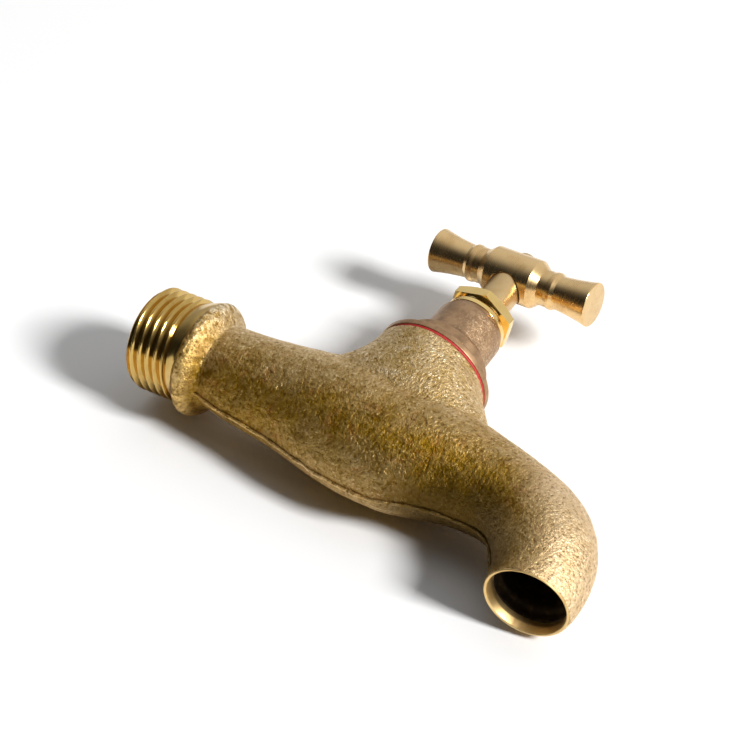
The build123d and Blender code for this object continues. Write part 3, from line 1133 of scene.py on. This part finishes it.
@dataclass
class Handle:
    """The spindle and the turned tee bar riveted on it."""

    bottom: float = 4.25
    hole_radius: float = 2.25
    hole_top: float = 13.0
    thread_radius: float = 4.75
    thread_top: float = 16.0
    shaft: float = 3.6
    shoulder: float = 45.0
    rivet: float = 2.4
    rivet_top: float = 53.61
    hub: float = 4.95
    hub_half: float = 4.9
    bevel_end: float = 6.6
    neck: float = 3.65
    neck_end: float = 8.2
    bead_start: float = 8.9
    bead_end: float = 9.4
    bead: float = 3.85
    groove_at: float = 10.2
    groove: float = 3.42
    half_length: float = 17.75
    end_radius: float = 4.6
    flare_rings: tuple = (11.5, 12.8, 14.1, 15.4, 16.6)
    saddle: float = 3.85
    stem_brass: TurnedBrass = TurnedBrass("stem_brass", Line.VALVE, (0.68, 0.49, 0.25),
                                          (0.55, 0.37, 0.16), 0.34)
    bar_brass: TurnedBrass = TurnedBrass("handle_brass", Line.BAR, (0.80, 0.56, 0.27),
                                         (0.58, 0.345, 0.13), 0.24)

    def spindle(self) -> Piece:
        """Turns the spindle with the blind hole for the jumper and the rivet head.

        Returns:
            The finished piece.
        """
        return smooth(turned("stem", Line.VALVE, eased([
            (self.hole_top, 0, 0), (self.hole_top, self.hole_radius, 0),
            (self.bottom, self.hole_radius, 0), (self.bottom, self.thread_radius, 0.3),
            (self.thread_top, self.thread_radius, 0.1), (self.thread_top + 0.4, self.shaft, 0.1),
            (self.shoulder, self.shaft, 0.1), (self.shoulder, self.rivet, 0),
            (self.rivet_top, self.rivet, 0.45), (self.rivet_top, 0, 0)])))

    def flare(self, at: float) -> float:
        """Returns the radius of the bar's flared end at a distance from the hub's middle."""
        share = (at - self.groove_at) / (self.half_length - self.groove_at)
        return self.groove + (self.end_radius - self.groove) * (0.55 * share + 0.45 * share ** 2.2)

    def tee_bar(self) -> Piece:
        """Turns the tee bar and bores it for the spindle.

        Returns:
            The finished piece.
        """
        half = [(0, self.hub, 0), (self.hub_half, self.hub, 0.22), (self.bevel_end, self.neck, 0.35),
                (self.neck_end, self.neck, 0.25), (self.bead_start, self.bead, 0.2),
                (self.bead_end, self.bead, 0.15), (self.groove_at, self.groove, 0.3)]
        half += [(at, self.flare(at), 0) for at in self.flare_rings]
        half += [(self.half_length, self.end_radius, 0.3), (self.half_length, 0, 0)]
        left = [(-along, radius, corner) for along, radius, corner in reversed(half)]
        piece = turned("tee_handle", Line.BAR, eased(left + half[1:]))
        bore = turned("spindle_bore", Line.VALVE, [
            (40, 0), (40, self.saddle), (self.shoulder + 0.05, self.saddle),
            (self.shoulder + 0.05, self.rivet + 0.03), (60, self.rivet + 0.03), (60, 0)], 96)
        combine(piece, bore, Cut.REMOVE)
        close_up(piece)
        return smooth(piece)

    def build(self) -> None:
        """Makes and delivers the pieces of the handle."""
        deliver(self.spindle(), "handle", "turned_brass", self.stem_brass, stands_for="spindle")
        deliver(self.tee_bar(), "handle", "turned_brass", self.bar_brass, stands_for="tee_bar")


@dataclass
class HiddenWorks:
    """The pieces inside the valve, which keep their CAD shape."""

    brass: TurnedBrass = TurnedBrass("inner_brass", Line.VALVE, (0.86, 0.62, 0.27))
    rubber: Speckled = Speckled("black_rubber", (0.018, 0.018, 0.019), (0.04, 0.04, 0.042), 0.6)
    packing: Speckled = Speckled("greased_packing", (0.10, 0.095, 0.085), (0.22, 0.20, 0.17), 0.5)

    def build(self) -> None:
        """Dresses the CAD nodes that nothing replaces."""
        for finish, nodes in ((self.brass, ("gland_ring", "jumper", "washer_nut")),
                              (self.rubber, ("seat_washer",)), (self.packing, ("gland_packing",))):
            dress = finish.material()
            for node in nodes:
                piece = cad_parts[node]
                for place in piece.material_slots:
                    place.material = dress
                if not piece.material_slots:
                    piece.data.materials.append(dress)
                LOG.info("%s: CAD node dressed", node)


# Studio


@dataclass
class Studio:
    """The white table, the lamp, the room and the camera."""

    table_point: tuple = (53.5, 11.9, 0.0)
    table_facing: tuple = (-0.0099, -1.0, 0.0732)
    table_size: float = 4.0
    key_aim: tuple = (0.055, 0, 0.01)
    key_from: tuple = (0.80, -0.58, -0.02)
    key_distance: float = 2.6
    key_size: float = 0.52
    key_power: float = 90.5
    soft_from: tuple = (0.1, -0.5, 0.86)
    soft_light: Rows = ((-0.1, 0.02), (0.2, 0.12), (0.45, 0.42), (0.7, 0.75), (1.0, 1.0))
    soft_level: float = 0.76
    white_share: float = 0.3
    lens: float = 130.058
    camera_at: tuple = (0.264619, -0.343999, -0.285779)
    camera_right: tuple = (0.837721, 0.075349, 0.540876)
    camera_up: tuple = (-0.322398, -0.731177, 0.601198)
    camera_forward: tuple = (-0.440776, 0.678013, 0.58823)

    def table(self) -> None:
        """Lays the white table, which is seen from its upper side only."""
        facing = Vector(self.table_facing).normalized()
        piece = start(bpy.ops.mesh.primitive_plane_add, "table", size=self.table_size,
                      location=Vector(self.table_point) * MM,
                      rotation=facing.to_track_quat("Z", "X").to_euler())
        board = Board("white_table")
        board.dress((1.0, 1.0, 1.0), 0.9, metallic=0.0)
        board.feed(board.shader.inputs["Specular IOR Level"], 0.0)
        see_through = board.add("BsdfTransparent").outputs[0]
        behind = board.add("NewGeometry").outputs["Backfacing"]
        one_sided = board.add("MixShader", behind, board.shader.outputs[0], see_through)
        board.feed(board.output.inputs["Surface"], one_sided.outputs[0])
        piece.data.materials.append(board.material)

    def key_lamp(self) -> None:
        """Hangs the soft square lamp that looks at the tap and casts its shadow."""
        light = bpy.data.lights.new("key", "AREA")
        light.size, light.energy = self.key_size, self.key_power
        holder = placed("key", light)
        aim = Vector(self.key_aim)
        holder.location = aim + Vector(self.key_from).normalized() * self.key_distance
        holder.rotation_euler = (aim - holder.location).to_track_quat("-Z", "Y").to_euler()

    def room(self) -> None:
        """Makes the room: white where it is seen, and a soft light high behind the tap.

        Metal sees a share of the white too, most where the soft light is.
        """
        world = bpy.data.worlds.new("room")
        bpy.context.scene.world = world
        world.use_nodes = True
        wires = Wiring(world.node_tree)
        facing = wires.add("VectorMath", wires.add("TexCoord").outputs["Generated"],
                           Vector(self.soft_from).normalized(), operation="DOT_PRODUCT")
        shade = wires.graded(facing.outputs["Value"], self.soft_light)
        soft = wires.add("Background", shade, self.soft_level).outputs[0]
        white = wires.add("Background", (1, 1, 1, 1)).outputs[0]
        path = wires.add("LightPath").outputs
        mirrored = wires.sum("MULTIPLY", wires.sum("MULTIPLY", shade, self.white_share),
                             wires.sum("MAXIMUM", path["Is Glossy Ray"], path["Is Transmission Ray"]))
        seen = wires.sum("MAXIMUM", path["Is Camera Ray"], mirrored)
        wires.add("OutputWorld", wires.add("MixShader", seen, soft, white).outputs[0])

    def camera(self) -> None:
        """Sets the camera where the photograph was taken from."""
        data = bpy.data.cameras.new("camera")
        data.lens, data.sensor_width = self.lens, 36.0
        data.clip_start, data.clip_end = 0.01, 20.0
        holder = placed("camera", data)
        axes = (Vector(self.camera_right), Vector(self.camera_up), -Vector(self.camera_forward))
        turn = Matrix(axes).transposed().to_4x4()
        holder.matrix_world = Matrix.Translation(self.camera_at) @ turn
        bpy.context.scene.camera = holder

    def build(self) -> None:
        """Sets up the whole studio."""
        self.table()
        self.room()
        self.key_lamp()
        self.camera()
        bpy.context.scene.view_settings.view_transform = "Standard"


def main() -> None:
    """Builds the tap and its studio."""
    logging.basicConfig(level=logging.INFO, format="%(name)s %(message)s")
    for part in (CastBody(), Headwork(), Handle(), HiddenWorks(), Studio()):
        LOG.info("building %s", type(part).__name__)
        part.build()


if __name__ == "__main__":
    main()
